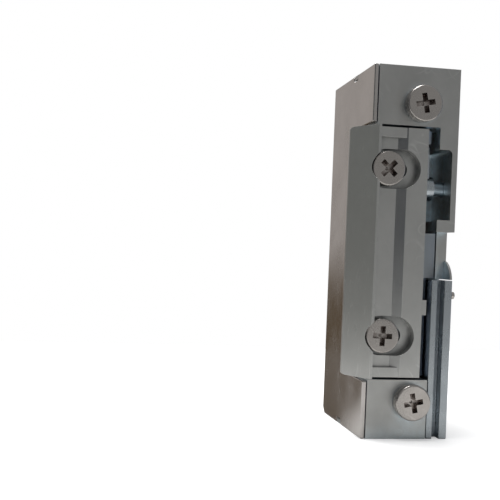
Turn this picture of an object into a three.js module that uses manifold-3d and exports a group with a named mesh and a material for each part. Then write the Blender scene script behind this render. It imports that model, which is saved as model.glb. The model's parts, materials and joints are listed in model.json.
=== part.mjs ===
// Electric door strike: a swivelling keeper in a die-cast casing, held by a lever and an armature.
// Millimetres. X across the strike, Y from the front face into the door frame, Z up.
// Coordinates below start at the casing's left, front, bottom corner; the root group centres them.
import * as THREE from 'three';
import { mergeVertices } from 'three/addons/utils/BufferGeometryUtils.js';
import Module from 'manifold-3d';

const wasm = await Module();
wasm.setup();

// Driving dimensions
const width = 16;
const depth = 25.5;
const height = 66;
const plateThickness = 0.8;
const innerLeft = 0.92;
const wallLeft = 14;
const wallBack = 24.1;
const recess = { bottom: 10.5, top: 55.5, right: 12.6 };
const mountScrew = { x: 8.88, offset: 26.3, headRadius: 3.18, headHeight: 1.9, length: 8.4 };
const adjustScrew = { x: 3.4, offset: 14.8, headRadius: 3.05, seat: 1.7, headHeight: 1.7, tip: 6.8 };
const shankRadius = 1.45;
const shankHole = 1.65;
const middle = height / 2;
const pivot = { x: 6.2, y: 8.2, radius: 1.25, hole: 1.42, boss: 2.6 };
const leverPivot = { y: 4.6, z: 44.9, radius: 1.3, hole: 1.45, hub: 2.2 };
const leverSlice = { left: 11.1, right: 12.1 };
const keeper = { bottom: 10.9, top: 55.1, left: 1.4, right: 10.2, front: 4.6, back: 7.5 };
const lip = { right: 10.5, back: 4.3, floor: 1, crestX: 0.5, crestY: -2.3, tipX: -3, tipY: 3.5 };
const lipSlot = { head: [3.3, 5.7], headRadius: 3.5, shank: [3.2, 5.65] };
const land = { foot: 5.15, edge: 6.7 };
const lug = { right: 11.4, bottom: 22.05, top: 24.75 };
const ear = { left: 10.7, right: 13.15, front: 0.5, sloped: 1.8, back: 5.6, bottom: 28.65, top: 36.7 };
const wing = { right: 11.9, front: 1.75, sloped: 2.3, back: 6.9, lowTop: 17.4, highBottom: 52.8 };
const coil = { x: 7.2, y: 16.6, radius: 5.4, bore: 2.45, bottom: 3.2, top: 18.2, flange: 1 };
const armatureHeight = { bottom: 19.7, top: 20.9 };
const rail = { left: 12.15, right: 16, back: 6, top: 28.35 };
const railGroove = { left: 13.27, right: 14.55, deep: 1.8 };
const rivet = { y: 1, z: 25.7, headRadius: 0.65, shankRadius: 0.4, from: 14.9 };
const cutaway = {
  back: 3.3, bottom: 28.5, top: 37, flange: 15.6, shoulder: { y: 4.2, z: 27.9, radius: 4.05 },
};
const pocket = { left: 2, right: 13.6, front: 12.8, bottom: 56.4, top: 64.6 };

// Helpers: shapes as Manifold solids, so that they can be joined and cut
function solid(geometry) {
  const bare = geometry.index ? geometry.clone() : geometry;
  bare.deleteAttribute('normal');
  bare.deleteAttribute('uv');
  const merged = mergeVertices(bare, 1e-5);
  const vertProperties = new Float32Array(merged.attributes.position.array);
  const triVerts = new Uint32Array(merged.index.array);
  return new wasm.Manifold(new wasm.Mesh({ numProp: 3, vertProperties, triVerts }));
}

function box(x0, x1, y0, y1, z0, z1) {
  const geometry = new THREE.BoxGeometry(x1 - x0, y1 - y0, z1 - z0);
  geometry.translate((x0 + x1) / 2, (y0 + y1) / 2, (z0 + z1) / 2);
  return solid(geometry);
}

// A cylinder along 'x', 'y' or 'z'; a and b are its centre in the other two axes, in order
function rod(axis, a, b, from, to, radius, segments = 28) {
  const geometry = new THREE.CylinderGeometry(radius, radius, to - from, segments);
  const centre = (from + to) / 2;
  if (axis === 'x') {
    geometry.rotateZ(-Math.PI / 2);
    geometry.translate(centre, a, b);
  } else if (axis === 'y') {
    geometry.translate(a, centre, b);
  } else {
    geometry.rotateX(Math.PI / 2);
    geometry.translate(a, b, centre);
  }
  return solid(geometry);
}

// An outline in the XY plane pushed up from z0 to z1
function risen(shape, z0, z1, curveSegments = 8) {
  const settings = { depth: z1 - z0, bevelEnabled: false, curveSegments };
  const geometry = new THREE.ExtrudeGeometry(shape, settings);
  geometry.translate(0, 0, z0);
  return solid(geometry);
}

// An outline whose points are (y, z), pushed along X from x0 to x1
function across(shape, x0, x1) {
  const settings = { depth: x1 - x0, bevelEnabled: false, curveSegments: 10 };
  const geometry = new THREE.ExtrudeGeometry(shape, settings);
  geometry.applyMatrix4(new THREE.Matrix4().makeBasis(
    new THREE.Vector3(0, 1, 0), new THREE.Vector3(0, 0, 1), new THREE.Vector3(1, 0, 0)));
  geometry.translate(x0, 0, 0);
  return solid(geometry);
}

function outline(points) {
  return new THREE.Shape(points.map(([u, v]) => new THREE.Vector2(u, v)));
}

// A slot with round ends, cut along Y: centres at x0 and x1
function slot(x0, x1, z, radius, y0, y1) {
  const ends = rod('y', x0, z, y0, y1, radius, 40).add(rod('y', x1, z, y0, y1, radius, 40));
  return ends.add(box(x0, x1, y0, y1, z - radius, z + radius));
}

function toMesh(name, body, color, metalness, roughness) {
  const result = body.getMesh();
  const geometry = new THREE.BufferGeometry();
  const positions = new Float32Array(result.vertProperties);
  geometry.setAttribute('position', new THREE.BufferAttribute(positions, 3));
  geometry.setIndex(new THREE.BufferAttribute(new Uint32Array(result.triVerts), 1));
  geometry.computeVertexNormals();
  const material = new THREE.MeshStandardMaterial({ color, metalness, roughness });
  const mesh = new THREE.Mesh(geometry, material);
  mesh.name = name;
  return mesh;
}

// A tube along a curve, closed at both ends
function wire(curve, steps, radius, sides) {
  const section = new THREE.Shape();
  section.absarc(0, 0, radius, 0, Math.PI * 2);
  const settings = { steps, bevelEnabled: false, extrudePath: curve, curveSegments: sides / 2 };
  return solid(new THREE.ExtrudeGeometry(section, settings));
}

class Helix extends THREE.Curve {
  constructor(radius, length, turns) {
    super();
    Object.assign(this, { radius, length, turns });
  }

  getPoint(t, target = new THREE.Vector3()) {
    const angle = t * this.turns * Math.PI * 2;
    return target.set(this.radius * Math.cos(angle), this.radius * Math.sin(angle), t * this.length);
  }

  getLength() {
    return Math.hypot(this.length, this.turns * Math.PI * 2 * this.radius);
  }

  getPointAt(t, target) {
    return this.getPoint(t, target);
  }
}

function spring(radius, wireRadius, length, turns) {
  return wire(new Helix(radius, length - wireRadius * 2, turns), Math.round(turns * 12), wireRadius, 6)
    .translate([0, 0, wireRadius]);
}

// Casing
function windowCut() {
  const left = 12.4;
  const right = 15;
  const top = 51.6;
  const corner = 0.8;
  const sill = 39.1;
  const deep = 9;
  const arch = rod('y', right - corner, top - corner, -1, deep, corner, 32);
  return box(left, right, -1, deep, sill, top - corner)
    .add(box(left, right - corner, -1, deep, sill, top))
    .add(arch);
}

// The right wall steps back beside the keeper; its thin outer edge comes forward in a round shoulder
function sideCutaway() {
  const { back, bottom, top, flange, shoulder } = cutaway;
  const round = rod('x', shoulder.y, shoulder.z, flange, width + 2, shoulder.radius, 64);
  return box(recess.right - 0.2, width + 1, -1, back, bottom, top).subtract(round);
}

function screwHoles() {
  const low = rod('y', mountScrew.x, middle - mountScrew.offset, -1, 9, shankHole);
  return low.add(rod('y', mountScrew.x, middle + mountScrew.offset, -1, 9, shankHole));
}

function housing() {
  const { bottom, top, right } = recess;
  const coilChamber = box(0, wallLeft, 10.4, wallBack, 1.5, bottom + 1);
  const mechanism = box(0, right, -1, wallBack, bottom, top)
    .add(box(0, wallLeft, 2.4, wallBack, bottom, top));
  const terminals = box(pocket.left, pocket.right, pocket.front, depth + 1, pocket.bottom, pocket.top);
  const leadWay = box(3, 12.6, 19.4, 22.4, top - 1, pocket.bottom + 1);
  const railSeat = box(rail.left - 0.15, width + 1, -1, rail.back + 0.2, -1, rail.top + 0.15);
  const pinHoles = rod('z', pivot.x, pivot.y, 8.3, 58.7, pivot.hole);
  const leverPinHole = rod('x', leverPivot.y, leverPivot.z, wallLeft, width - 0.35, leverPivot.hole);
  const springSeat = box(10.2, wallLeft + 0.5, 12.2, 13.6, 49, 52);
  const topTab = box(0.1, innerLeft + 0.5, 10, 12.4, height - 0.8, height);
  const bottomTab = box(0.1, innerLeft + 0.5, 12.8, 15.2, 0, 0.8);
  return box(innerLeft, width, 0, depth, 0, height)
    .subtract(mechanism)
    .subtract(coilChamber)
    .subtract(terminals)
    .subtract(leadWay)
    .subtract(windowCut())
    .subtract(sideCutaway())
    .subtract(railSeat)
    .subtract(screwHoles())
    .subtract(pinHoles)
    .subtract(leverPinHole)
    .add(springSeat)
    .add(topTab)
    .add(bottomTab);
}

function sidePlate() {
  const chamfer = 1.1;
  const side = outline([
    [0, 0], [depth - chamfer, 0], [depth, chamfer], [depth, height], [0, height],
  ]);
  return across(side, 0, plateThickness)
    .subtract(box(-1, 2, -1, 11.5, recess.bottom - 0.3, recess.top + 0.3))
    .subtract(box(-1, 2, 9.88, 12.52, height - 0.95, height + 1))
    .subtract(box(-1, 2, 12.68, 15.32, -1, 0.95));
}

function sideRail() {
  const groove = box(railGroove.left, railGroove.right, -1, railGroove.deep, -1, height);
  const hole = rod('x', rivet.y, rivet.z, rivet.from - 0.1, width + 1, rivet.shankRadius + 0.06, 20);
  return box(rail.left, rail.right, 0, rail.back, 0, rail.top).subtract(groove).subtract(hole);
}

function railRivet() {
  const { y, z, headRadius, from } = rivet;
  const head = rod('x', y, z, width + 0.08, width + 0.72, headRadius, 24);
  return head.add(rod('x', y, z, from, width + 0.3, rivet.shankRadius, 20));
}

// A pan head with a cross recess, its axis along Y, its top at y0
function crossScrew(x, z, y0, headRadius, headHeight, tip, turn) {
  const blade = 0.42;
  const reach = headRadius * 0.56;
  const deep = headHeight * 0.72;
  const cross = box(-reach, reach, -1, deep, -blade, blade).add(box(-blade, blade, -1, deep, -reach, reach));
  const profile = [
    [0, 0], [headRadius - 0.45, 0], [headRadius - 0.12, 0.16], [headRadius, 0.5],
    [headRadius, headHeight], [shankRadius, headHeight], [shankRadius, tip - y0 - 0.5],
    [shankRadius - 0.5, tip - y0], [0, tip - y0],
  ].map(([r, y]) => new THREE.Vector2(r, y));
  const turned = new THREE.LatheGeometry(profile, 32);
  return solid(turned).subtract(cross).rotate([0, turn, 0]).translate([x, y0, z]);
}

function mountingScrew(sign) {
  const { x, offset, headRadius, headHeight, length } = mountScrew;
  const top = -headHeight - 0.1;
  return crossScrew(x, middle + sign * offset, top, headRadius, headHeight, length, -11);
}

function adjustingScrew(sign, turn) {
  const { x, offset, headRadius, headHeight, seat, tip } = adjustScrew;
  return crossScrew(x, middle + sign * offset, seat - headHeight, headRadius, headHeight, tip, turn);
}

// Keeper: the swivelling body, with its boss, tail, ear and the threads for the lip's screws
function keeperBody() {
  const { bottom, top, left, right, front, back } = keeper;
  const nose = rod('z', 11.2, 10.9, 23.5, 26, 1.4, 32);
  const tail = box(pivot.x, 11.2, 9.5, 12.3, 23.5, 26);
  const earFace = outline([
    [ear.left, ear.front], [ear.right, ear.sloped], [ear.right, ear.back], [ear.left, ear.back],
  ]);
  const wingRoot = front - 0.6;
  const lowStep = front - 1.1;
  const wingFace = outline([
    [ear.left, wing.front], [wing.right, wing.sloped], [wing.right, wingRoot], [ear.left, wingRoot],
  ]);
  const earBody = risen(earFace, ear.bottom, ear.top)
    .add(box(right - 0.5, ear.right, front, ear.back, ear.bottom, ear.top))
    .add(risen(wingFace, bottom, ear.bottom + 0.5));
  const lowWing = box(right - 0.5, wing.right, front, wing.back, bottom, wing.lowTop)
    .add(box(ear.left, wing.right, lowStep, wing.back, bottom, wing.lowTop));
  const highWing = box(right - 0.5, wing.right, front, wing.back, wing.highBottom, top)
    .add(box(ear.left, wing.right, wing.sloped, wing.back, wing.highBottom, top));
  const springGap = rod('z', pivot.x, pivot.y, 32.4, 38.6, 3.4, 36);
  const leverRoom = box(8.9, right + 1, front - 1, back + 1, 42.4, 47.4);
  let body = box(left, right, front, back, bottom, top)
    .add(rod('z', pivot.x, pivot.y, bottom, top, pivot.boss, 40))
    .subtract(springGap)
    .subtract(leverRoom)
    .add(tail)
    .add(nose)
    .add(earBody)
    .add(lowWing)
    .add(highWing);
  for (const sign of [-1, 1]) {
    const z = middle + sign * adjustScrew.offset;
    body = body.subtract(rod('y', adjustScrew.x, z, front - 1, adjustScrew.tip + 0.2, shankHole));
  }
  return body.subtract(rod('z', pivot.x, pivot.y, bottom - 1, top + 1, pivot.hole));
}

// Adjustable lip plate: bevelled lip, shallow trough, and two slots for the clamping screws
function lipOutline() {
  const { right, back, crestX, crestY, tipX, tipY } = lip;
  return outline([
    [crestX, crestY], [crestX + 0.5, crestY], [crestX + 1, lip.floor], [right, lip.floor],
    [right, back], [keeper.left + 0.2, back], [tipX + 0.9, tipY + 1.1], [tipX, tipY + 0.5], [tipX, tipY],
  ]);
}

function lipPlate() {
  const { right, back, floor } = lip;
  const { bottom, top } = keeper;
  const raised = outline([
    [land.foot, floor], [land.edge, 0], [right, 0], [right, floor + 0.5], [land.foot, floor + 0.5],
  ]);
  const endHeight = 1.75;
  const endTop = 0.15;
  let plate = risen(lipOutline(), bottom, top).add(risen(raised, bottom, top))
    .add(box(1.2, land.edge + 0.3, endTop, floor + 0.3, bottom, bottom + endHeight))
    .add(box(1.2, land.edge + 0.3, endTop, floor + 0.3, top - endHeight, top))
    .add(box(right - 0.5, lug.right, 0.3, 1.6, lug.bottom, lug.top))
    .subtract(lipCorner(1))
    .subtract(lipCorner(-1));
  for (const sign of [-1, 1]) {
    const z = middle + sign * adjustScrew.offset;
    plate = plate.subtract(slot(...lipSlot.head, z, lipSlot.headRadius, -4, adjustScrew.seat + 0.15));
    plate = plate.subtract(slot(...lipSlot.shank, z, shankHole, 1, back + 1));
  }
  return plate;
}

// Rounds the lip's tip off at its top or bottom end: a block less a quarter round
function lipCorner(sign) {
  const radius = 0.6;
  const end = sign > 0 ? keeper.top : keeper.bottom;
  const inner = end - sign * radius;
  const low = Math.min(inner, end + sign);
  const high = Math.max(inner, end + sign);
  const x = lip.tipX + radius;
  return box(lip.tipX - 1, x, lip.crestY - 1, lip.back + 1, low, high)
    .subtract(rod('y', x, inner, lip.crestY - 2, lip.back + 2, radius, 40));
}

// Locking lever: swings on a pin across the casing; the keeper's tail pushes it when it is free
function lockingLever() {
  const { y, z, hub, hole } = leverPivot;
  const { left, right } = leverSlice;
  const arm = outline([
    [6.3, 21.5], [7.4, 20.92], [9.1, 20.92], [9.1, 38], [6.4, z], [6, 52.4],
    [3.4, 52.4], [3.2, z], [6.3, 38.5],
  ]);
  return across(arm, left, right)
    .add(rod('x', y, z, left, 12.9, hub, 32))
    .subtract(rod('x', y, z, left - 1, 14, hole, 28));
}

function leverPin() {
  const { y, z, radius } = leverPivot;
  return rod('x', y, z, leverSlice.left - 0.35, width - 0.45, radius, 32);
}

// Armature: a plate over the coil with a long arm whose nose stops the lever
function armature() {
  const { bottom, top } = armatureHeight;
  const armRight = leverSlice.right - 0.2;
  const nose = outline([[4.3, bottom], [6, bottom], [6, 21.32], [4.3, 22.22]]);
  return box(2.5, 11.9, 11, 23.7, bottom, top)
    .add(box(10.9, armRight, 4.3, 12, bottom, top))
    .add(across(nose, leverSlice.left, armRight));
}

function yoke() {
  const base = box(2.2, 12.2, 10.8, 23.9, 1.7, 2.9);
  return base.add(box(2.2, 12.2, 22.7, 23.9, 1.8, 19.4));
}

function bobbin() {
  const half = 5.8;
  const { x, y, bottom, top, flange, bore } = coil;
  const square = (z0, z1) => box(x - half, x + half, y - half, y + half, z0, z1);
  return square(bottom, bottom + flange)
    .add(square(top - flange, top))
    .add(rod('z', x, y, bottom, top, bore + 0.6, 32))
    .subtract(rod('z', x, y, bottom - 1, top + 1, bore, 32));
}

function winding() {
  const { x, y, bottom, top, flange, radius, bore } = coil;
  const from = bottom + flange + 0.15;
  const to = top - flange - 0.15;
  return rod('z', x, y, from, to, radius, 40).subtract(rod('z', x, y, from - 1, to + 1, bore + 0.75, 32));
}

// Terminals: seen through the pocket in the casing's back
function terminalBlock() {
  const body = box(pocket.left + 0.2, pocket.right - 0.2, pocket.front + 0.2, 21.2, 56.6, 64.4);
  const rib = box(7.3, 8.3, 21, 24.9, 56.6, 64.4);
  return body.add(rib).subtract(rod('y', 4.7, 61, 15, 22, 1.3, 20)).subtract(rod('y', 10.9, 61, 15, 22, 1.3, 20));
}

function terminalPlate(x) {
  return box(x - 2.2, x + 2.2, 21.4, 22.1, 57.6, 63.6).subtract(rod('y', x, 61, 21, 23, 1.3, 20));
}

function terminalScrew(x) {
  const driverSlot = box(x - 3, x + 3, 23.3, 25, 60.72, 61.28);
  return rod('y', x, 61, 22.25, 23.9, 2.1, 28).add(rod('y', x, 61, 16, 23, 1.05, 20)).subtract(driverSlot);
}

// A coil lead, from beside the coil's top flange up the back of the casing to its terminal
function coilLead(x0, x1) {
  const points = [
    [x0, 21.2, 18.6], [x0, 21.4, 22], [(x0 * 3 + x1) / 4, 22.6, 25], [x1, 23.2, 30],
    [x1, 23.2, 50], [x1, 21.6, 54.6], [x1, 21.2, 55.9], [x1, 22.6, 57.1],
  ];
  const curve = new THREE.CatmullRomCurve3(points.map((p) => new THREE.Vector3(...p)));
  return wire(curve, 36, 0.3, 6);
}

function keeperSpring() {
  return spring(2.1, 0.32, 5.4, 5).translate([pivot.x, pivot.y, 32.8]);
}

function leverSpring() {
  return spring(0.75, 0.17, 5.4, 7).rotate([-90, 0, 0]).translate([11.6, 6.5, 50.5]);
}

function armatureSpring() {
  return spring(0.72, 0.16, 8.7, 10).translate([11.55, 8.2, 10.75]);
}

const zinc = [0x8c8c88, 0.85, 0.42];
const steel = [0x8e8a84, 0.9, 0.35];
const nickel = [0x9a948e, 0.95, 0.28];
const springSteel = [0x7d7d80, 0.9, 0.3];
const brass = [0xb59a55, 0.9, 0.35];
const pieces = [
  ['housing', housing(), ...zinc],
  ['side_plate', sidePlate(), ...steel],
  ['side_rail', sideRail(), ...steel],
  ['rail_rivet', railRivet(), ...nickel],
  ['keeper', keeperBody(), ...zinc],
  ['keeper_pin', rod('z', pivot.x, pivot.y, 8.5, 58.5, pivot.radius), ...nickel],
  ['keeper_spring', keeperSpring(), ...springSteel],
  ['lip_plate', lipPlate(), ...zinc],
  ['upper_adjusting_screw', adjustingScrew(1, 45), ...nickel],
  ['lower_adjusting_screw', adjustingScrew(-1, 2), ...nickel],
  ['upper_mounting_screw', mountingScrew(1), ...nickel],
  ['lower_mounting_screw', mountingScrew(-1), ...nickel],
  ['locking_lever', lockingLever(), ...steel],
  ['lever_pin', leverPin(), ...nickel],
  ['lever_spring', leverSpring(), ...springSteel],
  ['armature', armature(), ...steel],
  ['armature_spring', armatureSpring(), ...springSteel],
  ['yoke', yoke(), ...steel],
  ['core', rod('z', coil.x, coil.y, 3.1, 18.5, 2.2), ...steel],
  ['bobbin', bobbin(), 0x2b2b2e, 0, 0.55],
  ['coil_winding', winding(), 0x9a4f24, 0.6, 0.4],
  ['terminal_block', terminalBlock(), 0x26272a, 0, 0.6],
];
for (const [letter, x] of [['a', 4.7], ['b', 10.9]]) {
  pieces.push([`terminal_plate_${letter}`, terminalPlate(x), ...brass]);
  pieces.push([`terminal_screw_${letter}`, terminalScrew(x), ...nickel]);
}
pieces.push(['coil_lead_a', coilLead(1.8, 4.7), 0x8f2a22, 0, 0.5]);
pieces.push(['coil_lead_b', coilLead(12.9, 10.9), 0x1e1f22, 0, 0.5]);

const strike = new THREE.Group();
strike.position.set(-width / 2, -depth / 2, 0);
for (const piece of pieces) {
  strike.add(toMesh(...piece));
}
export default strike;
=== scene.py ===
import bmesh
import bpy
import json
import math
from mathutils import Matrix, Vector


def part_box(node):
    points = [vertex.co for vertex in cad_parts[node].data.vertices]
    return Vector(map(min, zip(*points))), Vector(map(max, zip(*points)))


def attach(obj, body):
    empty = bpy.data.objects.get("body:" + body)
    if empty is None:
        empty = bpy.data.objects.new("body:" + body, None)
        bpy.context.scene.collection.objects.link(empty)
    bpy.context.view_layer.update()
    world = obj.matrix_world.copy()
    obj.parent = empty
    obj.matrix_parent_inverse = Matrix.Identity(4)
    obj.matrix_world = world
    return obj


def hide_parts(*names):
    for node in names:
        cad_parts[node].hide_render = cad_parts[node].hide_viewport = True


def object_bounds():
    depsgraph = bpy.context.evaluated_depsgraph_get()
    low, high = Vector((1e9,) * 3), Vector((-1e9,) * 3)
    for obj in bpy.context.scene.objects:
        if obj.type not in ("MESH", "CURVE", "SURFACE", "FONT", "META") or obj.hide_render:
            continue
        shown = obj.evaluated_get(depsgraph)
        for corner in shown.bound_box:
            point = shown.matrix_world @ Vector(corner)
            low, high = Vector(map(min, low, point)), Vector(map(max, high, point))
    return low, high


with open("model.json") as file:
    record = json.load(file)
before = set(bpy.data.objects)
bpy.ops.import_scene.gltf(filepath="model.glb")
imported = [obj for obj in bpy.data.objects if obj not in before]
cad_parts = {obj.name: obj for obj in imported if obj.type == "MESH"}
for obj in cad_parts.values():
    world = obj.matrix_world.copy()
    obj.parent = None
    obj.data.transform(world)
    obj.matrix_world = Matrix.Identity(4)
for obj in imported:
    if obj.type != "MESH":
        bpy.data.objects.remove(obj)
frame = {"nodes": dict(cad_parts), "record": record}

cadLow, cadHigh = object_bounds()
mm = 0.001
print("frame loaded")

cameraSetup = {
    "place": (-0.05381, -0.15514, 0.03154),  # metres from the middle of the casing's foot
    "turn": (89.321, -2.227, -9.587),  # degrees about X, Y and Z
    "lens": 60.74,  # mm, on a 36 mm sensor
    "shift": (0.01, 0.03),  # of the frame's width
}


def addCamera(setup):
    data = bpy.data.cameras.new("studioCamera")
    data.lens = setup["lens"]
    data.sensor_width = 36
    data.shift_x, data.shift_y = setup["shift"]
    data.clip_start = 0.004
    data.clip_end = 20
    camera = bpy.data.objects.new("studioCamera", data)
    camera.location = setup["place"]
    camera.rotation_euler = [math.radians(angle) for angle in setup["turn"]]
    bpy.context.scene.collection.objects.link(camera)
    bpy.context.scene.camera = camera


addCamera(cameraSetup)


# Node helpers

def addNode(tree, kind, inputs=None, **settings):
    node = tree.nodes.new(kind)
    for name, value in settings.items():
        setattr(node, name, value)
    for key, value in (inputs or {}).items():
        if isinstance(value, bpy.types.NodeSocket):
            tree.links.new(value, node.inputs[key])
        else:
            node.inputs[key].default_value = value
    return node


def maths(tree, operation, a, b=0.0, clamp=False):
    node = addNode(tree, "ShaderNodeMath", {0: a, 1: b}, operation=operation, use_clamp=clamp)
    return node.outputs[0]


def mixColors(tree, factor, a, b, blend="MIX"):
    node = addNode(tree, "ShaderNodeMix", {0: factor, 6: a, 7: b}, data_type="RGBA", blend_type=blend)
    return node.outputs[2]


def spread(tree, value, fromLow, fromHigh, toLow=0.0, toHigh=1.0):
    inputs = {0: value, 1: fromLow, 2: fromHigh, 3: toLow, 4: toHigh}
    return addNode(tree, "ShaderNodeMapRange", inputs).outputs[0]


def newGroup(name, inputs, outputs):
    tree = bpy.data.node_groups.new(name, "ShaderNodeTree")
    for label, kind, value in inputs:
        socket = tree.interface.new_socket(label, in_out="INPUT", socket_type=kind)
        socket.default_value = value
    for label, kind in outputs:
        tree.interface.new_socket(label, in_out="OUTPUT", socket_type=kind)
    return tree, tree.nodes.new("NodeGroupInput"), tree.nodes.new("NodeGroupOutput")


# Shader groups that several finishes share; scales are per metre

textureForm = {
    "cloudScale": 160.0,
    "grainDetail": 4.0,
    "wearScale": 700.0,
    "wearBend": (0.01, 0.12),  # how far the rounded normal leans away where edge wear and painted highlight start and are full
    "scratchLines": ((0.3, 90.0), (1.1, 120.0), (-0.7, 70.0)),  # turn in radians, scale
    "scratchWidth": 0.006,
    "scratchPatches": 260.0,
    "grimeScale": 900.0,
    "grimeShut": (0.75, 0.25),  # how open a spot is where painted hollow shading starts and is full
}


def grainGroup():
    inputs = [("Size mm", "NodeSocketFloat", 0.2), ("Stretch", "NodeSocketVector", (1, 1, 1))]
    outputs = [("Grain", "NodeSocketFloat"), ("Cloud", "NodeSocketFloat")]
    tree, given, result = newGroup("metalGrain", inputs, outputs)
    place = addNode(tree, "ShaderNodeTexCoord").outputs["Object"]
    scale = maths(tree, "DIVIDE", 1000.0, given.outputs["Size mm"])
    stretched = addNode(tree, "ShaderNodeVectorMath", {0: place, 1: given.outputs["Stretch"]}, operation="MULTIPLY")
    fine = addNode(tree, "ShaderNodeTexNoise", {"Vector": stretched.outputs[0], "Scale": scale,
                                                "Detail": textureForm["grainDetail"], "Roughness": 0.6})
    cloud = addNode(tree, "ShaderNodeTexNoise", {"Vector": place, "Scale": textureForm["cloudScale"], "Detail": 5.0,
                                                 "Roughness": 0.55})
    tree.links.new(fine.outputs[0], result.inputs["Grain"])
    tree.links.new(spread(tree, cloud.outputs[0], 0.3, 0.7), result.inputs["Cloud"])
    return tree


# Mask along rounded edges: rubbed plating, and partly a painted highlight on the edges
def edgeWearAndHighlightGroup():
    inputs = [("Width mm", "NodeSocketFloat", 0.2), ("Break up", "NodeSocketFloat", 0.5)]
    tree, given, result = newGroup("edgeWear", inputs, [("Mask", "NodeSocketFloat")])
    radius = maths(tree, "MULTIPLY", given.outputs["Width mm"], mm)
    rounded = addNode(tree, "ShaderNodeBevel", {"Radius": radius}, samples=6)
    flat = addNode(tree, "ShaderNodeNewGeometry").outputs["Normal"]
    facing = addNode(tree, "ShaderNodeVectorMath", {0: rounded.outputs[0], 1: flat}, operation="DOT_PRODUCT")
    bend = spread(tree, maths(tree, "SUBTRACT", 1.0, facing.outputs["Value"]), *textureForm["wearBend"])
    place = addNode(tree, "ShaderNodeTexCoord").outputs["Object"]
    patches = addNode(tree, "ShaderNodeTexNoise", {"Vector": place, "Scale": textureForm["wearScale"], "Detail": 3.0})
    wornAndHighlit = spread(tree, patches.outputs[0], 0.35, 0.6)
    broken = maths(tree, "MULTIPLY", maths(tree, "SUBTRACT", 1.0, wornAndHighlit), given.outputs["Break up"])
    tree.links.new(maths(tree, "MULTIPLY", bend, maths(tree, "SUBTRACT", 1.0, broken)), result.inputs["Mask"])
    return tree


def scratchGroup():
    inputs = [("Amount", "NodeSocketFloat", 0.5)]
    tree, given, result = newGroup("fineScratches", inputs, [("Mask", "NodeSocketFloat")])
    place = addNode(tree, "ShaderNodeTexCoord").outputs["Object"]
    marks = None
    for turn, scale in textureForm["scratchLines"]:
        mapped = addNode(tree, "ShaderNodeMapping", {"Vector": place, "Rotation": (turn, turn * 0.6, turn * 1.7),
                                                     "Scale": (1.0, 9.0, 1.0)})
        lines = addNode(tree, "ShaderNodeTexNoise", {"Vector": mapped.outputs[0], "Scale": scale, "Detail": 1.0,
                                                     "Distortion": 0.4})
        ridge = maths(tree, "ABSOLUTE", maths(tree, "SUBTRACT", lines.outputs[0], 0.5))
        thin = spread(tree, ridge, 0.0, textureForm["scratchWidth"], 1.0, 0.0)
        marks = thin if marks is None else maths(tree, "MAXIMUM", marks, thin)
    patchInputs = {"Vector": place, "Scale": textureForm["scratchPatches"], "Detail": 2.0}
    where = addNode(tree, "ShaderNodeTexNoise", patchInputs)
    patchy = spread(tree, where.outputs[0], 0.5, 0.65)
    kept = maths(tree, "MULTIPLY", maths(tree, "MULTIPLY", marks, patchy), given.outputs["Amount"])
    tree.links.new(kept, result.inputs["Mask"])
    return tree


# Mask of hollows from ambient occlusion: the finishes paint shade into it, and pale cool light into the deepest
# hollows
def cavityGroup():
    inputs = [("Reach mm", "NodeSocketFloat", 0.8)]
    tree, given, result = newGroup("cavityGrime", inputs, [("Mask", "NodeSocketFloat")])
    reach = maths(tree, "MULTIPLY", given.outputs["Reach mm"], mm)
    open_ = addNode(tree, "ShaderNodeAmbientOcclusion", {"Distance": reach}, samples=8).outputs["AO"]
    place = addNode(tree, "ShaderNodeTexCoord").outputs["Object"]
    patches = addNode(tree, "ShaderNodeTexNoise", {"Vector": place, "Scale": textureForm["grimeScale"], "Detail": 3.0})
    shut = spread(tree, open_, *textureForm["grimeShut"])
    uneven = spread(tree, patches.outputs[0], 0.3, 0.7, 0.6, 1.0)
    tree.links.new(maths(tree, "MULTIPLY", shut, uneven), result.inputs["Mask"])
    return tree


grain, wearAndHighlight, scratches, cavity = grainGroup(), edgeWearAndHighlightGroup(), scratchGroup(), cavityGroup()

groupLabels = {"size": "Size mm", "stretch": "Stretch", "width": "Width mm", "breakUp": "Break up",
               "amount": "Amount", "reach": "Reach mm"}


def useGroup(tree, group, **values):
    node = addNode(tree, "ShaderNodeGroup", node_tree=group)
    for key, value in values.items():
        node.inputs[groupLabels[key]].default_value = value
    return node.outputs


def newMaterial(name):
    material = bpy.data.materials.new(name)
    material.use_nodes = True
    tree = material.node_tree
    tree.nodes.clear()
    shader = addNode(tree, "ShaderNodeBsdfPrincipled")
    output = addNode(tree, "ShaderNodeOutputMaterial")
    tree.links.new(shader.outputs[0], output.inputs["Surface"])
    return material, tree, shader


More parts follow.
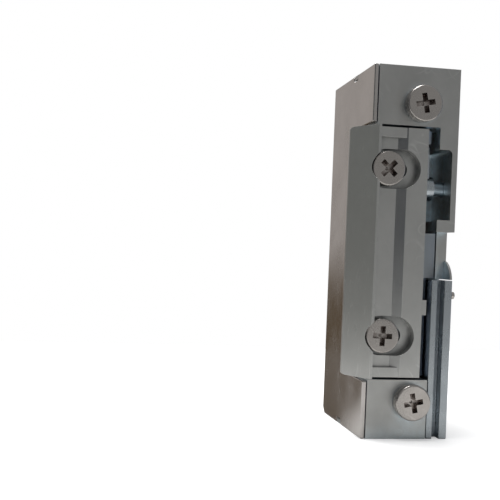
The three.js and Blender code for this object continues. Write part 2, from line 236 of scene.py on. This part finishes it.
def platedMetal(name, color, rough=0.38, roughSpread=0.08, size=0.25, stretch=(1, 1, 1), bump=0.02, tint=0.10,
                bright=1.35, wearWidth=0.18, scratch=0.4, grime=0.45, grimeReach=0.7,
                grimeColor=(0.045, 0.035, 0.03)):
    material, tree, shader = newMaterial(name)
    texture = useGroup(tree, grain, size=size, stretch=stretch)
    wornAndHighlit = useGroup(tree, wearAndHighlight, width=wearWidth, breakUp=0.6)["Mask"]
    marks = useGroup(tree, scratches, amount=scratch)["Mask"]
    dark = [c * (1 - tint) for c in color] + [1]
    light = [min(1, c * (1 + tint)) for c in color] + [1]
    cloudy = mixColors(tree, texture["Cloud"], dark, light)
    streaky = mixColors(tree, maths(tree, "MULTIPLY", texture["Grain"], 0.5), cloudy, light)
    # edges and scratches are painted lighter: rubbed plating and scratches, and along the edges partly a painted
    # highlight
    rubbedAndHighlit = [min(1, c * bright) for c in color] + [1]
    edged = mixColors(tree, maths(tree, "MULTIPLY", wornAndHighlit, 0.8), streaky, rubbedAndHighlit)
    marked = mixColors(tree, marks, edged, rubbedAndHighlit)
    # painted shade in hollows, creases and recesses; a pale hollow colour paints cool light into the shaded inside
    # instead
    shut = maths(tree, "MULTIPLY", useGroup(tree, cavity, reach=grimeReach)["Mask"], grime)
    tree.links.new(mixColors(tree, shut, marked, (*grimeColor, 1)), shader.inputs["Base Color"])
    cloudRough = spread(tree, texture["Cloud"], 0, 1, rough + roughSpread, rough - roughSpread)
    grainRough = spread(tree, texture["Grain"], 0.3, 0.7, -roughSpread / 2, roughSpread / 2)
    total = maths(tree, "ADD", cloudRough, grainRough)
    polished = maths(tree, "MULTIPLY", wornAndHighlit, 0.12)
    tree.links.new(maths(tree, "SUBTRACT", total, polished, clamp=True), shader.inputs["Roughness"])
    shader.inputs["Metallic"].default_value = 1.0
    relief = maths(tree, "SUBTRACT", texture["Grain"], maths(tree, "MULTIPLY", marks, 0.6))
    raised = addNode(tree, "ShaderNodeBump", {"Strength": 0.6, "Distance": bump * mm, "Height": relief})
    tree.links.new(raised.outputs[0], shader.inputs["Normal"])
    return material


def mouldedPlastic(name, color, rough=0.5, size=0.3, bump=0.03):
    material, tree, shader = newMaterial(name)
    texture = useGroup(tree, grain, size=size)
    wornAndHighlit = useGroup(tree, wearAndHighlight, width=0.15, breakUp=0.4)["Mask"]
    light = [min(1, c * 1.6 + 0.02) for c in color] + [1]
    base = mixColors(tree, maths(tree, "MULTIPLY", texture["Cloud"], 0.3), list(color) + [1], light)
    # edges painted lighter: worn moulding, and partly a painted highlight
    tree.links.new(mixColors(tree, maths(tree, "MULTIPLY", wornAndHighlit, 0.5), base, light), shader.inputs["Base Color"])
    tree.links.new(spread(tree, texture["Cloud"], 0, 1, rough + 0.08, rough - 0.08), shader.inputs["Roughness"])
    raised = addNode(tree, "ShaderNodeBump", {"Strength": 0.5, "Distance": bump * mm, "Height": texture["Grain"]})
    tree.links.new(raised.outputs[0], shader.inputs["Normal"])
    return material


alongZ = (6, 6, 0.35)  # stretches grain into lines up and down
coolShade = (0.09, 0.115, 0.15)
# pale blue painted light in the deep, shaded hollows inside the casing and around the pin
deepPaintedLight = {"grime": 0.95, "grimeReach": 6.0, "grimeColor": (0.80, 0.93, 1.0)}
finishes = {
    "casting": platedMetal("castingZinc", (0.47, 0.47, 0.455), rough=0.38, size=0.35, bump=0.012, **deepPaintedLight),
    "side_steel": platedMetal("sideSteel", (0.55, 0.52, 0.50), rough=0.20, size=0.5, stretch=alongZ, bump=0.002,
                              tint=0.06),
    "rail_steel": platedMetal("railSteel", (0.43, 0.465, 0.49), rough=0.28, size=0.4, stretch=alongZ, bump=0.002,
                              grime=0.6, grimeReach=1.5, grimeColor=coolShade),
    # the keeper's hollows, seen through the gaps, get a painted cool blue light
    "keeper_metal": platedMetal("keeperMetal", (0.42, 0.43, 0.43), rough=0.40, size=0.25, bump=0.02, tint=0.14,
                                grime=0.9, grimeReach=3.0, grimeColor=(0.36, 0.46, 0.60)),
    # the lip's edges are painted extra light: partly rubbed plating, partly a painted highlight along the crest and
    # slot rims
    "lip_metal": platedMetal("lipMetal", (0.50, 0.50, 0.485), rough=0.33, roughSpread=0.05, size=0.5,
                             stretch=alongZ, bump=0.002, bright=1.6, wearWidth=0.14, grime=0.9, grimeReach=2.2,
                             grimeColor=(0.05, 0.055, 0.06)),
    # painted brownish shade in the cross recess
    "screw_nickel": platedMetal("screwNickel", (0.47, 0.44, 0.415), rough=0.26, size=0.2, bump=0.006, tint=0.10,
                                bright=1.75, scratch=0.5, grime=0.85, grimeReach=1.2, grimeColor=(0.16, 0.12, 0.11)),
    "pin_steel": platedMetal("pinSteel", (0.22, 0.25, 0.29), rough=0.45, size=0.2, bump=0.004, **deepPaintedLight),
    "spring_steel": platedMetal("springSteel", (0.42, 0.42, 0.43), rough=0.28, size=0.15, bump=0.004),
    "magnet_iron": platedMetal("magnetIron", (0.48, 0.49, 0.51), rough=0.36, size=0.3, bump=0.01),
    "copper_wire": platedMetal("copperWire", (0.60, 0.27, 0.12), rough=0.26, size=0.4, bump=0.004, tint=0.2),
    "terminal_brass": platedMetal("terminalBrass", (0.70, 0.54, 0.26), rough=0.30, size=0.3, bump=0.006),
    "bobbin_plastic": mouldedPlastic("bobbinNylon", (0.03, 0.03, 0.034)),
    "terminal_plastic": mouldedPlastic("terminalMoulding", (0.045, 0.046, 0.05), rough=0.45),
    "lead_red": mouldedPlastic("leadRed", (0.40, 0.04, 0.03), rough=0.4, bump=0.01),
    "lead_black": mouldedPlastic("leadBlack", (0.02, 0.02, 0.022), rough=0.4, bump=0.01),
}
nodeSlots = {piece["node"]: piece["material_slot"] for piece in frame["record"]["subparts"]}
nodeBodies = {node: body for body, nodes in frame["record"]["behaviour"]["bodies"].items() for node in nodes}
print("finishes made")


# Mesh helpers

def linkMesh(name, mesh):
    thing = bpy.data.objects.new(name, mesh)
    bpy.context.scene.collection.objects.link(thing)
    return thing


def asPlainMesh(thing, name):
    graph = bpy.context.evaluated_depsgraph_get()
    mesh = bpy.data.meshes.new_from_object(thing.evaluated_get(graph))
    bpy.data.objects.remove(thing)
    return linkMesh(name, mesh)


def standFor(piece, node):
    piece.data.materials.clear()
    piece.data.materials.append(finishes[nodeSlots[node]])
    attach(piece, nodeBodies[node])
    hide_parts(node)


def mergedCopy(node, name):
    mesh = bpy.data.meshes.new(name)
    work = bmesh.new()
    work.from_mesh(frame["nodes"][node].data)
    bmesh.ops.remove_doubles(work, verts=work.verts, dist=2e-6)
    bmesh.ops.dissolve_limit(work, angle_limit=math.radians(0.6), verts=work.verts, edges=work.edges)
    for face in work.faces:
        face.smooth = True
    work.to_mesh(mesh)
    work.free()
    return linkMesh(name, mesh)


# Edge radii in mm and steps of the pieces that keep the CAD shape; edges sharper than edgeAngle are rounded
edgeAngle = 28  # degrees
softEdges = {
    "housing": (0.16, 3),
    "side_plate": (0.2, 3),
    "side_rail": (0.14, 3),
    "rail_rivet": (0.16, 3),
    "keeper": (0.16, 3),
    "lip_plate": (0.14, 3),
    "locking_lever": (0.12, 2),
    "lever_pin": (0.22, 3),
    "keeper_pin": (0.25, 3),
    "armature": (0.12, 2),
    "yoke": (0.15, 2),
    "core": (0.2, 2),
    "bobbin": (0.15, 2),
    "terminal_block": (0.18, 3),
    "terminal_plate_a": (0.1, 2),
    "terminal_plate_b": (0.1, 2),
}


def camel(node):
    first, *rest = node.split("_")
    return first + "".join(word.capitalize() for word in rest)


def evenNormals(piece):
    step = piece.modifiers.new("normals", "WEIGHTED_NORMAL")
    step.weight = 100
    step.keep_sharp = True


def softened(node, radius, segments):
    piece = mergedCopy(node, camel(node))
    bevel = piece.modifiers.new("edges", "BEVEL")
    bevel.width = radius * mm
    bevel.segments = segments
    bevel.limit_method = "ANGLE"
    bevel.angle_limit = math.radians(edgeAngle)
    bevel.miter_outer = "MITER_ARC"
    evenNormals(piece)
    standFor(piece, node)


for node, (radius, segments) in softEdges.items():
    softened(node, radius, segments)
print("edges rounded")


# Screws with a cross recess
screwForm = {
    "rimRadius": 0.27,  # mm
    "wingReach": 1.8,
    "wingWidth": 0.95,
    "recessDepth": 1.45,
    "shank": 1.45,
    "shankEnd": 0.4,  # chamfer
    "underEdge": 0.12,
    "mountingHead": 1.9,  # head heights
    "adjustingHead": 1.7,
    "ringSteps": 72,
    "coneSteps": 24,
    "sharpAngle": 32,  # degrees
}


def turnedMesh(name, profile, steps):
    work = bmesh.new()
    points = [work.verts.new((radius * mm, 0, level * mm)) for radius, level in profile]
    edges = [work.edges.new(pair) for pair in zip(points, points[1:])]
    bmesh.ops.spin(work, geom=points + edges, cent=(0, 0, 0), axis=(0, 0, 1), angle=2 * math.pi, steps=steps,
                   use_merge=True, use_duplicate=False)
    bmesh.ops.remove_doubles(work, verts=work.verts, dist=1e-7)
    bmesh.ops.recalc_face_normals(work, faces=work.faces)
    mesh = bpy.data.meshes.new(name)
    work.to_mesh(mesh)
    work.free()
    return linkMesh(name, mesh)


def bladeCutter(form, turn):
    work = bmesh.new()
    rings = []
    for level, reachShare, widthShare in ((0.3, 1.03, 1.08), (-form["recessDepth"], 0.72, 0.7)):
        reach = form["wingReach"] * reachShare
        half = form["wingWidth"] / 2 * widthShare
        corners = [(reach, half), (-reach, half), (-reach, -half), (reach, -half)]
        rings.append([work.verts.new((x * mm, y * mm, level * mm)) for x, y in corners])
    top, low = rings
    work.faces.new(top)
    work.faces.new(low[::-1])
    for i in range(4):
        work.faces.new((top[i - 1], top[i], low[i], low[i - 1]))
    bmesh.ops.rotate(work, verts=work.verts, matrix=Matrix.Rotation(math.radians(turn), 3, "Z"))
    bmesh.ops.recalc_face_normals(work, faces=work.faces)
    mesh = bpy.data.meshes.new("bladeCutter")
    work.to_mesh(mesh)
    work.free()
    return linkMesh("bladeCutter", mesh)


def coneCutter(form, depth):
    wide = form["wingWidth"] * 0.86
    profile = [(0, 0.3), (wide, 0.3), (wide * 0.9, 0), (wide * 0.35, -depth), (0, -depth * 1.25)]
    return turnedMesh("coneCutter", profile, form["coneSteps"])


def cutAway(thing, cutter):
    step = thing.modifiers.new("cut", "BOOLEAN")
    step.operation = "DIFFERENCE"
    step.solver = "EXACT"
    step.object = cutter


def screwBlank(form, headRadius, headHeight, length):
    rim = form["rimRadius"]
    arc = [(headRadius - rim + rim * math.sin(a), -rim + rim * math.cos(a))
           for a in (math.radians(9 * i) for i in range(11))]
    under = form["underEdge"]
    shank = form["shank"]
    end = form["shankEnd"]
    return ([(0, 0)] + arc + [(headRadius, -headHeight + under), (headRadius - under, -headHeight),
            (shank, -headHeight), (shank, -length + end), (shank - end, -length), (0, -length)])


def crossScrew(node, turn):
    low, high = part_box(node)
    headRadius = (high.x - low.x) / 2 / mm
    centre = Vector(((low.x + high.x) / 2, low.y, (low.z + high.z) / 2))
    length = (high.y - low.y) / mm
    form = screwForm
    headHeight = form["mountingHead"] if "mounting" in node else form["adjustingHead"]
    screw = turnedMesh("blank", screwBlank(form, headRadius, headHeight, length), form["ringSteps"])
    cutters = [bladeCutter(form, 0), bladeCutter(form, 90), coneCutter(form, form["recessDepth"])]
    for cutter in cutters:
        cutAway(screw, cutter)
    piece = asPlainMesh(screw, camel(node))
    for cutter in cutters:
        bpy.data.objects.remove(cutter)
    facing = Matrix.Rotation(math.radians(90), 4, "X")  # the head looks along -Y
    spun = Matrix.Rotation(math.radians(turn), 4, "Z")
    piece.data.transform(Matrix.Translation(centre) @ facing @ spun)
    work = bmesh.new()
    work.from_mesh(piece.data)
    bmesh.ops.dissolve_limit(work, angle_limit=math.radians(1), verts=work.verts, edges=work.edges)
    for face in work.faces:
        face.smooth = True
    work.to_mesh(piece.data)
    work.free()
    piece.data.set_sharp_from_angle(angle=math.radians(form["sharpAngle"]))
    evenNormals(piece)
    standFor(piece, node)


screwTurns = {  # degrees that the cross is turned anticlockwise, seen from the front
    "upper_mounting_screw": 11,
    "lower_mounting_screw": 11,
    "upper_adjusting_screw": 45,
    "lower_adjusting_screw": -2,
}
for node, turn in screwTurns.items():
    crossScrew(node, turn)
print("screws cut")


# Springs and the coil's winding, wound by one Geometry Nodes tree
def windingTree():
    tree = bpy.data.node_groups.new("woundWire", "GeometryNodeTree")
    for label, kind in (("Turns", "NodeSocketFloat"), ("Radius", "NodeSocketFloat"), ("Height", "NodeSocketFloat"),
                        ("Wire radius", "NodeSocketFloat"), ("Material", "NodeSocketMaterial")):
        tree.interface.new_socket(label, in_out="INPUT", socket_type=kind)
    tree.interface.new_socket("Geometry", in_out="OUTPUT", socket_type="NodeSocketGeometry")
    given = tree.nodes.new("NodeGroupInput").outputs
    result = tree.nodes.new("NodeGroupOutput")
    spiral = addNode(tree, "GeometryNodeCurveSpiral", {"Resolution": 40, "Rotations": given["Turns"],
                     "Start Radius": given["Radius"], "End Radius": given["Radius"], "Height": given["Height"]})
    section = addNode(tree, "GeometryNodeCurvePrimitiveCircle", {"Resolution": 10, "Radius": given["Wire radius"]})
    swept = addNode(tree, "GeometryNodeCurveToMesh", {"Curve": spiral.outputs[0],
                    "Profile Curve": section.outputs[0], "Fill Caps": True})
    smooth = addNode(tree, "GeometryNodeSetShadeSmooth", {"Geometry": swept.outputs[0]})
    real = addNode(tree, "GeometryNodeRealizeInstances", {"Geometry": smooth.outputs[0]})
    painted = addNode(tree, "GeometryNodeSetMaterial", {"Geometry": real.outputs[0], "Material": given["Material"]})
    tree.links.new(painted.outputs[0], result.inputs[0])
    return tree


woundWire = windingTree()


def wind(name, turns, radius, height, wireRadius, material):
    holder = linkMesh("holder", bpy.data.meshes.new("holder"))
    step = holder.modifiers.new("wire", "NODES")
    step.node_group = woundWire
    values = {"Turns": turns, "Radius": radius, "Height": height, "Wire radius": wireRadius, "Material": material}
    for item in woundWire.interface.items_tree:
        if item.in_out == "INPUT":
            step[item.identifier] = values[item.name]
    return asPlainMesh(holder, name)


springForms = {  # wire radius in mm, turns, axis
    "keeper_spring": (0.32, 5.0, "Z"),
    "lever_spring": (0.17, 7.0, "Y"),
    "armature_spring": (0.16, 10.0, "Z"),
}


def addSpring(node, wireRadius, turns, axis):
    low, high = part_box(node)
    across = high.x - low.x
    rise = (high.z - low.z) if axis == "Z" else (high.y - low.y)
    middle = (low + high) / 2
    coil = wind(camel(node), turns, across / 2 - wireRadius * mm, rise - 2 * wireRadius * mm, wireRadius * mm,
                finishes["spring_steel"])
    turned = Matrix.Identity(4) if axis == "Z" else Matrix.Rotation(math.radians(-90), 4, "X")
    centred = Matrix.Translation((0, 0, -(rise / 2 - wireRadius * mm)))
    coil.data.transform(Matrix.Translation(middle) @ turned @ centred)
    standFor(coil, node)


for node, form in springForms.items():
    addSpring(node, *form)

windingForm = {"wireRadius": 0.13, "coreInset": 0.16, "coreRise": 0.99}  # mm, and a share of the height


def addWinding(node, form):
    low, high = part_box(node)
    middle = (low + high) / 2
    wire = form["wireRadius"] * mm
    radius = (high.x - low.x) / 2
    height = high.z - low.z
    turns = (height - 2 * wire) / (2 * wire)
    layer = wind("layer", turns, radius - wire, height - 2 * wire, wire, finishes["copper_wire"])
    layer.data.transform(Matrix.Translation((middle.x, middle.y, low.z + wire)))
    core = mergedCopy(node, "coilCore")
    inset = 1 - form["coreInset"] * mm / radius
    shrink = Matrix.Translation(middle) @ Matrix.Diagonal((inset, inset, form["coreRise"], 1))
    core.data.transform(shrink @ Matrix.Translation(-middle))
    work = bmesh.new()
    work.from_mesh(layer.data)
    work.from_mesh(core.data)
    mesh = bpy.data.meshes.new("coilWinding")
    work.to_mesh(mesh)
    work.free()
    bpy.data.objects.remove(layer)
    bpy.data.objects.remove(core)
    piece = linkMesh("coilWinding", mesh)
    standFor(piece, node)


addWinding("coil_winding", windingForm)
print("wire wound")

for node, thing in frame["nodes"].items():  # what still shows from the CAD model
    thing.data.materials.clear()
    thing.data.materials.append(finishes[nodeSlots[node]])


# Studio: a pale floor, a soft overhead light, and a quiet room for the metal to reflect
studio = {
    "floorColor": (0.86, 0.86, 0.855),
    "floorReach": 0.13,
    "sunStrength": 3.3,
    "sunSpread": 30,  # degrees
    "sunTurn": (-6, -8, 0),
    "walls": (  # what the metal reflects, by bearing in degrees: 0 in front, 90 to the right
        (-180, (0.42, 0.40, 0.385)),
        (-135, (0.45, 0.42, 0.40)),
        (-112, (0.21, 0.215, 0.21)),
        (-85, (0.20, 0.21, 0.205)),
        (-60, (0.065, 0.065, 0.07)),
        (-30, (0.075, 0.085, 0.10)),
        (5, (0.30, 0.30, 0.295)),
        (40, (0.33, 0.335, 0.34)),
        (90, (0.17, 0.21, 0.26)),
        (140, (0.34, 0.35, 0.37)),
        (180, (0.42, 0.40, 0.385)),
    ),
    "above": (0.35, 0.35, 0.36),
    "aboveFrom": (0.3, 0.85),  # the height, as a sine, where that starts and is full
    "lowLeft": (0.12, 0.09, 0.06),  # low down, behind and to the left
    "leftFrom": (-100, -120),  # degrees
    "lowFrom": (0.01, -0.04),
    "floorShade": (0.62, 0.62, 0.61),  # what the floor gives back to the metal
    "warmShade": (0.07, 0.05, 0.03),  # the same, behind and to the left
    "warmLeft": (-0.007, -0.0085),  # where that starts and is full, along X
    "warmSlant": 2.1,  # how its edge runs away from the casing
    "warmEdge": (-0.028, -0.012),
    "shadowLift": 0.35,  # glow that the camera sees on the floor
}


def addFloor(setup):
    reach = setup["floorReach"]
    mesh = bpy.data.meshes.new("studioFloor")
    corners = [(-reach, -reach, 0), (reach, -reach, 0), (reach, reach, 0), (-reach, reach, 0)]
    mesh.from_pydata(corners, [], [(0, 1, 2, 3)])
    floor = linkMesh("studioFloor", mesh)
    floor.location.z = cadLow.z
    material, tree, shader = newMaterial("paleFloor")
    place = addNode(tree, "ShaderNodeTexCoord").outputs["Object"]
    x, y, z = addNode(tree, "ShaderNodeSeparateXYZ", {0: place}).outputs
    toLeft = spread(tree, x, *setup["warmLeft"])
    slanted = maths(tree, "ADD", y, maths(tree, "MULTIPLY", x, setup["warmSlant"]))
    behind = spread(tree, slanted, *setup["warmEdge"])
    warm = maths(tree, "MULTIPLY", toLeft, behind)
    reflected = mixColors(tree, warm, (*setup["floorShade"], 1), (*setup["warmShade"], 1))
    seen = addNode(tree, "ShaderNodeLightPath").outputs["Is Camera Ray"]
    tree.links.new(mixColors(tree, seen, reflected, (*setup["floorColor"], 1)), shader.inputs["Base Color"])
    shader.inputs["Roughness"].default_value = 0.6
    shader.inputs["Emission Color"].default_value = (1, 1, 1, 1)
    lift = maths(tree, "MULTIPLY", seen, setup["shadowLift"])
    tree.links.new(lift, shader.inputs["Emission Strength"])
    mesh.materials.append(material)


def addSun(setup):
    data = bpy.data.lights.new("softOverhead", "SUN")
    data.energy = setup["sunStrength"]
    data.angle = math.radians(setup["sunSpread"])
    sun = bpy.data.objects.new("softOverhead", data)
    sun.rotation_euler = [math.radians(angle) for angle in setup["sunTurn"]]
    bpy.context.scene.collection.objects.link(sun)


def addRoom(setup):
    world = bpy.data.worlds.new("quietRoom")
    bpy.context.scene.world = world
    world.use_nodes = True
    tree = world.node_tree
    tree.nodes.clear()
    direction = addNode(tree, "ShaderNodeTexCoord").outputs["Generated"]
    x, y, z = addNode(tree, "ShaderNodeSeparateXYZ", {0: direction}).outputs
    bearing = maths(tree, "ARCTAN2", x, maths(tree, "MULTIPLY", y, -1.0))
    turned = spread(tree, bearing, -math.pi, math.pi)
    walls = addNode(tree, "ShaderNodeValToRGB", {0: turned})
    ramp = walls.color_ramp
    for i, (degrees, color) in enumerate(setup["walls"]):
        stop = ramp.elements[i] if i < 2 else ramp.elements.new(1.0)
        stop.position = (degrees + 180) / 360
        stop.color = (*color, 1)
    shade = mixColors(tree, spread(tree, z, *setup["aboveFrom"]), walls.outputs[0], (*setup["above"], 1))
    toLeft = spread(tree, bearing, *[math.radians(angle) for angle in setup["leftFrom"]])
    lowLeft = maths(tree, "MULTIPLY", toLeft, spread(tree, z, *setup["lowFrom"]))
    shade = mixColors(tree, lowLeft, shade, (*setup["lowLeft"], 1))
    seen = addNode(tree, "ShaderNodeLightPath").outputs["Is Camera Ray"]
    color = mixColors(tree, seen, shade, (1, 1, 1, 1))
    glow = addNode(tree, "ShaderNodeBackground", {"Color": color, "Strength": 1.0})
    output = addNode(tree, "ShaderNodeOutputWorld")
    tree.links.new(glow.outputs[0], output.inputs["Surface"])


addFloor(studio)
addSun(studio)
addRoom(studio)
bpy.context.scene.view_settings.view_transform = "Standard"
print("studio set")
